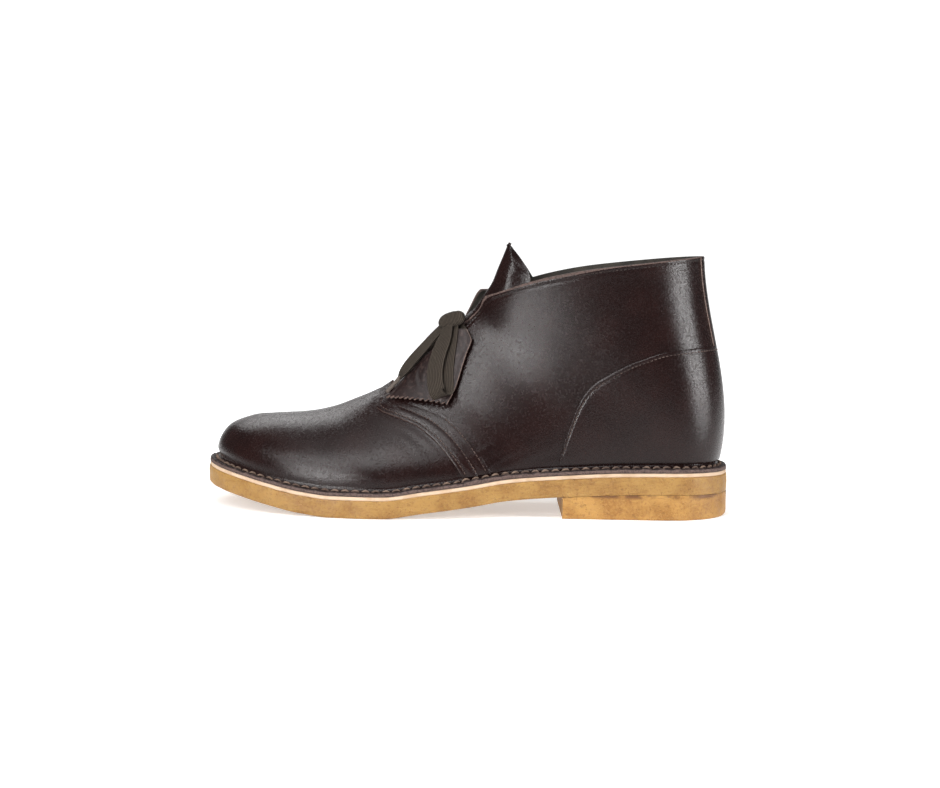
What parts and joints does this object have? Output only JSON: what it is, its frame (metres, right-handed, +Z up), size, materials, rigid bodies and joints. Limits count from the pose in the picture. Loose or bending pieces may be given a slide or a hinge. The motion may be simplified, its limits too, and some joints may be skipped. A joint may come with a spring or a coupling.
{
  "type": "chukka boot",
  "caption": "Ankle-high laced leather chukka boot with a stitched-out upper, pale midsole and crepe sole with a crepe heel block, for the left foot.",
  "frame": {"origin": "on the floor under the middle of the boot's length and width", "axes": "+X towards the toe, +Y towards the outer side of the left foot, +Z up"},
  "size_m": [0.3, 0.1054, 0.1535],
  "materials": {
    "leather": "semi-gloss",
    "midsole_edge": "matt",
    "lining": "matt",
    "crepe": "matt mottled",
    "crepe_heel": "matt mottled",
    "lace": "woven",
    "lace_tip": "satin"
  },
  "bodies": {
    "root": {"outsole": "crepe", "heel": "crepe_heel", "midsole": "midsole_edge", "insole": "lining", "upper": "leather", "tongue": "leather", "heel_counter": "leather", "back_strip": "leather", "fob": "leather", "lace_bar_low": "lace", "lace_bar_high": "lace", "lace_knot": "lace", "lace_near_loop": "lace", "lace_far_loop": "lace", "lace_near_end": "lace", "lace_far_end": "lace", "lace_near_tip": "lace_tip", "lace_far_tip": "lace_tip"}
  },
  "joints": []
}
